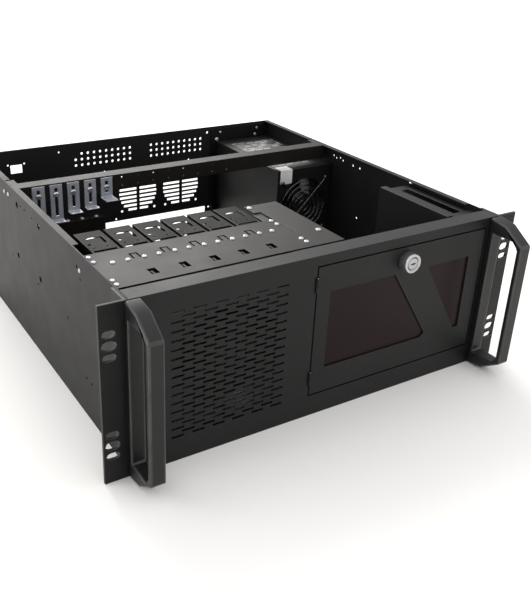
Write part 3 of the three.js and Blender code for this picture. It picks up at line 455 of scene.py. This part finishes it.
# The barrel takes the lighter chrome, a painted reflection.
new_piece("lock_barrel_turned", build_barrel, BARREL_CHROME_LIT, "door", ["lock_barrel"])


def build_plug(builder):
    length = plug_high.y - plug_low.y
    r = plug_r
    profile = [(0, 0.0009), (r * 0.5, 0.0009), (r * 0.86, 0.0009), (r * 0.95, 0.0011),
               (r, 0.0016), (r, length * 0.7), (0, length * 0.7)]
    add_lathe(builder, profile, Vector((lock_at.x, plug_low.y, lock_at.z)), (0, 1, 0), 64)


new_piece("lock_plug_turned", build_plug, CHROME, "lock", ["lock_plug"])
# Near-black finish for the keyhole: painted shade in place of the hole's dark inside.
KEYHOLE_SHADE = finish("keyhole", grey(0.004), grey(0.008), (0.5, 0.7), patch=80.0)


def build_keyhole(builder):
    """A dark slab in the shape of the keyhole, with a round middle and small side notch, lying on
    the plug's face: painted shade for the hole.
    """
    y = plug_low.y + 0.00082
    outline = [(-3.4, -0.55), (-1.3, -0.55), (-0.9, -1.2), (0.9, -1.2), (1.3, -0.55),
               (3.4, -0.55), (3.4, 0.55), (1.3, 0.55), (0.9, 1.2), (-0.9, 1.2), (-1.3, 0.55),
               (-3.4, 0.55)]
    front_ring = [builder.verts.new((lock_at.x + a * MM, y, lock_at.z + b * MM))
                  for a, b in outline]
    back_ring = [builder.verts.new((v.co.x, y + 0.0003, v.co.z)) for v in front_ring]
    builder.faces.new(front_ring)
    builder.faces.new(back_ring[::-1])
    for i in range(len(outline)):
        j = (i + 1) % len(outline)
        builder.faces.new((front_ring[i], front_ring[j], back_ring[j], back_ring[i]))


new_piece("lock_keyhole_painted_shade", build_keyhole, KEYHOLE_SHADE, "lock", smooth=False)


# %% [markdown]
# ## Fan blades
# A fan's blade is thin, curved across its width and twisted from root to tip. CAD keeps flat
# twisted slats. Here each blade is a grid of points: the angle of the section falls from root
# to tip, the section is arched, and both sides are built so that the blade is a closed shell.

# %% A rotor with curved blades
def build_rotor_of(node, hub_share, tip_share, blades):
    low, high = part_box(node)
    centre = (low + high) / 2
    radius = max(high.x - low.x, high.z - low.z) / 2
    depth = high.y - low.y
    hub, tip = radius * hub_share, radius * tip_share

    def build(builder):
        profile = [(0, 0), (hub - 0.0025, 0), (hub - 0.0009, 0.0004), (hub - 0.0002, 0.0012),
                   (hub, 0.0025), (hub, depth * 0.98), (0, depth * 0.98)]
        add_lathe(builder, profile, Vector((centre.x, low.y, centre.z)), (0, 1, 0), 56)
        columns, rows = 9, 9
        for blade in range(blades):
            base = 2 * math.pi * blade / blades
            shells = []
            for side in (-1, 1):
                grid = []
                for i in range(columns):
                    u = i / (columns - 1)
                    r = hub - 0.0008 + (tip - hub + 0.0008) * u
                    twist = math.radians(52 - 22 * u)
                    chord = depth * (0.84 + 0.22 * u)
                    line = []
                    for j in range(rows):
                        v = j / (rows - 1) - 0.5
                        thick = side * 0.0008 * (1 - (2 * v) ** 2) * (1.1 - 0.4 * u)
                        arch = 0.16 * chord * (0.25 - v * v) * 4
                        along = chord * v * math.cos(twist) + arch * math.sin(twist) * 0.4
                        across = chord * v * math.sin(twist) - arch * math.cos(twist) + thick
                        angle = base + across / r + 0.18 * u
                        line.append(builder.verts.new((
                            centre.x + r * math.cos(angle), centre.y + along,
                            centre.z + r * math.sin(angle))))
                    grid.append(line)
                shells.append(grid)
            for grid in shells:
                for i in range(columns - 1):
                    for j in range(rows - 1):
                        builder.faces.new((grid[i][j], grid[i + 1][j], grid[i + 1][j + 1],
                                           grid[i][j + 1]))
            a, b = shells
            for i in (0, columns - 1):
                for j in range(rows - 1):
                    builder.faces.new((a[i][j], a[i][j + 1], b[i][j + 1], b[i][j]))
            for j in (0, rows - 1):
                for i in range(columns - 1):
                    builder.faces.new((a[i][j], a[i + 1][j], b[i + 1][j], b[i][j]))
    return build


new_piece("intake_rotor_blades", build_rotor_of("intake_fan_rotor", 0.38, 0.985, 7), PLASTIC,
          "intake_rotor", ["intake_fan_rotor"])
new_piece("psu_rotor_blades", build_rotor_of("psu_fan_rotor", 0.43, 0.985, 7), GLOSSY_PLASTIC,
          "psu_rotor", ["psu_fan_rotor"])


# %% [markdown]
# ## The wire guard
# The power supply's fan is covered by a guard of welded steel wire: rings on two crossed
# spokes, with an eye at each end for a screw. Each ring is a torus, and a spoke is a swept
# round section. Everything stays in the thickness of the CAD guard.

# %% Rings, spokes and eyes
def add_torus(builder, centre, major, minor, turns=72, sides=10):
    rings = []
    for i in range(turns):
        a = 2 * math.pi * i / turns
        ring = []
        for j in range(sides):
            b = 2 * math.pi * j / sides
            r = major + minor * math.cos(b)
            ring.append(builder.verts.new(centre + Vector((
                r * math.cos(a), minor * math.sin(b), r * math.sin(a)))))
        rings.append(ring)
    for i in range(turns):
        for j in range(sides):
            k, m = (i + 1) % turns, (j + 1) % sides
            builder.faces.new((rings[i][j], rings[k][j], rings[k][m], rings[i][m]))


def add_wire(builder, points, radius, sides=10):
    """A round wire through points that lie in one plane across Y."""
    rings = []
    for n, point in enumerate(points):
        before, after = points[max(n - 1, 0)], points[min(n + 1, len(points) - 1)]
        along = (after - before).normalized()
        side = along.cross(Vector((0, 1, 0))).normalized()
        rings.append([builder.verts.new(
            point + side * radius * math.cos(2 * math.pi * j / sides)
            + Vector((0, 1, 0)) * radius * math.sin(2 * math.pi * j / sides))
            for j in range(sides)])
    for a, b in zip(rings, rings[1:]):
        for j in range(sides):
            m = (j + 1) % sides
            builder.faces.new((a[j], b[j], b[m], a[m]))
    builder.faces.new(rings[0][::-1])
    builder.faces.new(rings[-1])


guard_low, guard_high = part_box("psu_fan_guard")
guard_c = (guard_low + guard_high) / 2
WIRE = (guard_high.y - guard_low.y) / 2 * 0.98


def build_guard(builder):
    for radius in (0.0075, 0.0145, 0.0215, 0.0285, 0.0355):
        add_torus(builder, guard_c, radius, WIRE * 0.9)
    reach = (guard_high.x - guard_low.x) / 2
    for sign in (-1, 1):
        far = [guard_c + Vector((s * reach * 0.94, 0, s * sign * reach * 0.94))
               for s in (-1, -0.5, 0, 0.5, 1)]
        add_wire(builder, far, WIRE * 0.95)
    for dx in (-1, 1):
        for dz in (-1, 1):
            eye = guard_c + Vector((dx * (reach - 0.0012), 0, dz * (reach - 0.0012)))
            add_torus(builder, eye, 0.0026, WIRE * 0.8, 28)


DARK_WIRE = finish("guard_wire", grey(0.1), grey(0.16), (0.18, 0.3), patch=60.0, Metallic=1.0)
new_piece("fan_guard_wires", build_guard, DARK_WIRE, "case", ["psu_fan_guard"])
guard_screws = [guard_c + Vector((dx * 0.0352, -0.0002, dz * 0.0352)) for dx in (-1, 1)
                for dz in (-1, 1)]
screws("fan_guard_screws", guard_screws, (0, -1, 0), 0.0028, material=DARK_WIRE)


# %% [markdown]
# ## Labels without words
# The power supply carries a sticker over its top front edge and a rating plate on top. Both are
# generic here: pale foil with rows of blank bars. The foil is a thin folded strip with rounded
# corners, and the bars come from a brick texture in its material, so nothing can be read.

# %% Label finishes
def label_finish(name, paper, ink, bars, contrast_scale=1.0):
    material = finish(name, paper, tuple(min(1, c * 1.12) for c in paper), (0.35, 0.5),
                      patch=25.0, grain=500.0, height=0.00001, Specular_IOR_Level=0.4)
    tree = material.node_tree
    shader = tree.nodes["Principled BSDF"]
    plain = shader.inputs["Base Color"].links[0].from_socket
    coordinates = tree.nodes.new("ShaderNodeTexCoord")
    brick = tree.nodes.new("ShaderNodeTexBrick")
    brick.inputs["Scale"].default_value = bars
    brick.inputs["Mortar Size"].default_value = 0.07 * contrast_scale
    brick.inputs["Mortar Smooth"].default_value = 0.0
    brick.inputs["Brick Width"].default_value = 0.8
    brick.inputs["Row Height"].default_value = 0.3
    brick.inputs["Color1"].default_value = (*ink, 1)
    brick.inputs["Color2"].default_value = (*paper, 1)
    brick.offset_frequency = 3
    tree.links.new(plain, brick.inputs["Mortar"])
    tree.links.new(coordinates.outputs["Object"], brick.inputs["Vector"])
    tree.links.new(brick.outputs["Color"], shader.inputs["Base Color"])
    return material


STICKER = finish("sticker", grey(0.62), grey(0.75), (0.4, 0.55), patch=70.0, grain=400.0)
PLATE = label_finish("rating_plate", grey(0.016), grey(0.5), 60.0)

# %% Sticker and rating plate
psu_low, psu_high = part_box("psu_case")


def add_strip(builder, path, width_axis, width, thickness, inset=0.0008):
    """A thin strip that follows path, a list of (point, outward normal)."""
    half = Vector(width_axis) * width / 2
    outer, inner = [], []
    for n, (point, normal) in enumerate(path):
        trim = inset if n in (0, len(path) - 1) else 0
        span = half - Vector(width_axis) * trim
        for target, lift in ((outer, thickness), (inner, 0.00002)):
            base = point + Vector(normal).normalized() * lift
            target.append((builder.verts.new(base - span), builder.verts.new(base + span)))
    for strip in (outer, inner):
        for a, b in zip(strip, strip[1:]):
            builder.faces.new((a[0], a[1], b[1], b[0]))
    for i in (0, -1):
        builder.faces.new((outer[i][0], outer[i][1], inner[i][1], inner[i][0]))
    for side in (0, 1):
        for a, b, c, d in zip(outer, outer[1:], inner[1:], inner):
            builder.faces.new((a[side], b[side], c[side], d[side]))


def build_sticker(builder):
    x = psu_low.x + 0.0135
    z, y = psu_high.z, psu_low.y
    up, out, both = (0, 0, 1), (0, -1, 0), (0, -1, 1)
    path = [(Vector((x, y + 0.0150, z)), up), (Vector((x, y + 0.0142, z)), up),
            (Vector((x, y + 0.0004, z)), up), (Vector((x, y + 0.00008, z - 0.00008)), both),
            (Vector((x, y, z - 0.0004)), out), (Vector((x, y, z - 0.0182)), out),
            (Vector((x, y, z - 0.0190)), out)]
    add_strip(builder, path, (1, 0, 0), 0.0185, 0.00012)


new_piece("psu_sticker", build_sticker, STICKER, "case")


def build_plate(builder):
    x = (psu_low.x + psu_high.x) / 2 + 0.002
    z = psu_high.z
    path = [(Vector((x, psu_low.y + a, z)), (0, 0, 1)) for a in (0.033, 0.034, 0.136, 0.137)]
    add_strip(builder, path, (1, 0, 0), 0.068, 0.00012)


new_piece("psu_rating_plate", build_plate, PLATE, "case")


def build_front_label(builder):
    x = psu_low.x + 0.034
    z = psu_high.z
    path = [(Vector((x, psu_low.y + a, z)), (0, 0, 1)) for a in (0.0165, 0.0172, 0.0292, 0.03)]
    add_strip(builder, path, (1, 0, 0), 0.058, 0.00012)


new_piece("psu_front_label", build_front_label, PLATE, "case")


# %% [markdown]
# ## The power supply's mounting plate
# The power supply is screwed to a separate sheet on the inside of the rear panel. The sheet's
# left edge is folded forward, and it shows as an upright seam beside the power supply. It is an
# L of sheet: a strip beside the power supply and one above it.

# %% Plate with its folded edge
def add_box(builder, low, high):
    corners = [builder.verts.new((x, y, z)) for x in (low[0], high[0]) for y in (low[1], high[1])
               for z in (low[2], high[2])]
    for face in ((0, 1, 3, 2), (4, 6, 7, 5), (0, 4, 5, 1), (2, 3, 7, 6), (0, 2, 6, 4),
                 (1, 5, 7, 3)):
        builder.faces.new([corners[i] for i in face])


inner_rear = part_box("rear_panel")[1].y - 0.0012
wall_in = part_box("chassis_tray")[1].x - 0.0012
plate_left = psu_low.x - 0.0105


def build_mount_plate(builder):
    back, front = inner_rear - 0.00005, inner_rear - 0.0010
    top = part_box("chassis_tray")[1].z - 0.0045
    add_box(builder, (plate_left, front, 0.012), (psu_low.x - 0.0006, back, top))
    add_box(builder, (psu_low.x - 0.0006, front, psu_high.z + 0.0008), (wall_in - 0.001, back, top))
    add_box(builder, (plate_left, front - 0.006, 0.012),
            (plate_left + 0.001, front, psu_high.z - 0.012))


# The plate takes the darker inside coat, which is painted shade.
new_piece("psu_mount_plate", build_mount_plate, COAT_INSIDE_SHADED, "case",
          smooth=False)


# %% [markdown]
# ## Spring clips under the trays
# Each tray has a bent slot near its rear end, and a pale line of caught light shows in it. A thin
# bowed zinc strip under each slot paints that line as a highlight.

# %% A painted highlight strip for each tray
def build_highlight_strip_of(node):
    low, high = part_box(node)
    x = (low.x + high.x) / 2
    z = high.z - 0.0011

    def build(builder):
        count = 9
        path = []
        for n in range(count):
            share = n / (count - 1)
            bow = 0.0007 * math.sin(math.pi * share)
            point = Vector((x - 0.0085 + 0.0125 * share, case(0, 142, 0).y, z + bow))
            path.append((point, (0, 0, 1)))
        add_strip(builder, path, (0, 1, 0), 0.0015, 0.0003, 0.0002)
    return build


# Each strip is a painted highlight, not a real clip.
for k in range(1, 7):
    new_piece(f"tray_slot_highlight_{k}", build_highlight_strip_of(f"drive_tray_{k}"), ZINC, "case")


# %% [markdown]
# ## Studio
# The case stands on a plain pale floor that runs past the edge of the picture. Soft light comes
# from a pale surround, one large softbox behind and above, which lights the tops, and one on the
# left for the side wall. The tops are made lighter still by their lighter coat, which is painted
# light.

# %% Floor
floor_mesh = bpy.data.meshes.new("floor")
maker = bmesh.new()
bmesh.ops.create_grid(maker, x_segments=8, y_segments=8, size=30)
maker.to_mesh(floor_mesh)
maker.free()
floor = bpy.data.objects.new("floor", floor_mesh)
floor.location.z = -0.0002
bpy.context.scene.collection.objects.link(floor)
floor_mesh.materials.append(finish("floor_paint", grey(0.88), grey(0.92), (0.7, 0.8), patch=0.5,
                                   grain=20.0, Specular_IOR_Level=0.1))

# %% Surround and softboxes
SURROUND_LOW, SURROUND_HIGH = 0.75, 1.15
world = bpy.data.worlds.new("studio")
bpy.context.scene.world = world
world.use_nodes = True
surround = world.node_tree.nodes["Background"]
surround.inputs["Color"].default_value = (1, 1, 1, 1)
direction = world.node_tree.nodes.new("ShaderNodeTexCoord")
height = world.node_tree.nodes.new("ShaderNodeSeparateXYZ")
paper = world.node_tree.nodes.new("ShaderNodeMapRange")
paper.inputs["From Min"].default_value = 0.0
paper.inputs["From Max"].default_value = 0.5
paper.inputs["To Min"].default_value = SURROUND_LOW
paper.inputs["To Max"].default_value = SURROUND_HIGH
seen = world.node_tree.nodes.new("ShaderNodeLightPath")
backdrop = world.node_tree.nodes.new("ShaderNodeMix")
backdrop.data_type = "FLOAT"
backdrop.inputs[3].default_value = 1.0
world.node_tree.links.new(direction.outputs["Generated"], height.inputs["Vector"])
world.node_tree.links.new(height.outputs["Z"], paper.inputs["Value"])
world.node_tree.links.new(seen.outputs["Is Camera Ray"], backdrop.inputs[0])
world.node_tree.links.new(paper.outputs["Result"], backdrop.inputs[2])
world.node_tree.links.new(backdrop.outputs[0], surround.inputs["Strength"])


def softbox(name, at, size, power, colour, aim=(0, 0, 0.08)):
    data = bpy.data.lights.new(name, "AREA")
    data.color = colour
    data.shape = "SQUARE"
    data.size = size
    data.energy = power
    lamp = bpy.data.objects.new(name, data)
    lamp.location = at
    lamp.rotation_euler = (Vector(aim) - Vector(at)).to_track_quat("-Z", "Y").to_euler()
    bpy.context.scene.collection.objects.link(lamp)


softbox("softbox_back", (0.5, 2.6, 1.9), 2.2, 85, (1, 0.985, 0.965))
softbox("softbox_left", (-2.6, 0.9, 1.1), 1.8, 24, (1, 1, 1))

# %% [markdown]
# ## Camera
# The picture is taken from the front left, above the case, from less than a metre away, so the
# near corner looks large. The place and lens were fitted to points on the case, with its width
# and height taken at standard sizes and its depth chosen, so the distance rests on those three.
# The lens shift is kept small, which moves some edges a few picture points and one by fourteen.

# %% Place, direction and lens
FRAME_H = 600
LENS_SHARE = 798.66 / FRAME_H
AZIMUTH, ELEVATION, ROLL = (math.radians(a) for a in (32.455, 25.217, 2.183))
camera_data = bpy.data.cameras.new("camera")
camera = bpy.data.objects.new("camera", camera_data)
bpy.context.scene.collection.objects.link(camera)
camera.location = case(-446.208, -532.372, 468.056)
ahead = Vector((math.sin(AZIMUTH) * math.cos(ELEVATION), math.cos(AZIMUTH) * math.cos(ELEVATION),
                -math.sin(ELEVATION)))
level = ahead.cross(Vector((0, 0, 1))).normalized()
above = level.cross(ahead)
right = math.cos(ROLL) * level + math.sin(ROLL) * above
up = -math.sin(ROLL) * level + math.cos(ROLL) * above
turn = Matrix((right, up, -ahead)).transposed()
camera.rotation_mode = "QUATERNION"
camera.rotation_quaternion = turn.to_quaternion()
camera_data.sensor_fit = "AUTO"
camera_data.lens = LENS_SHARE * camera_data.sensor_width
camera_data.shift_x = 0.0411
camera_data.shift_y = -0.0331
camera_data.clip_start, camera_data.clip_end = 0.01, 200
bpy.context.scene.camera = camera
bpy.context.scene.view_settings.view_transform = "Standard"
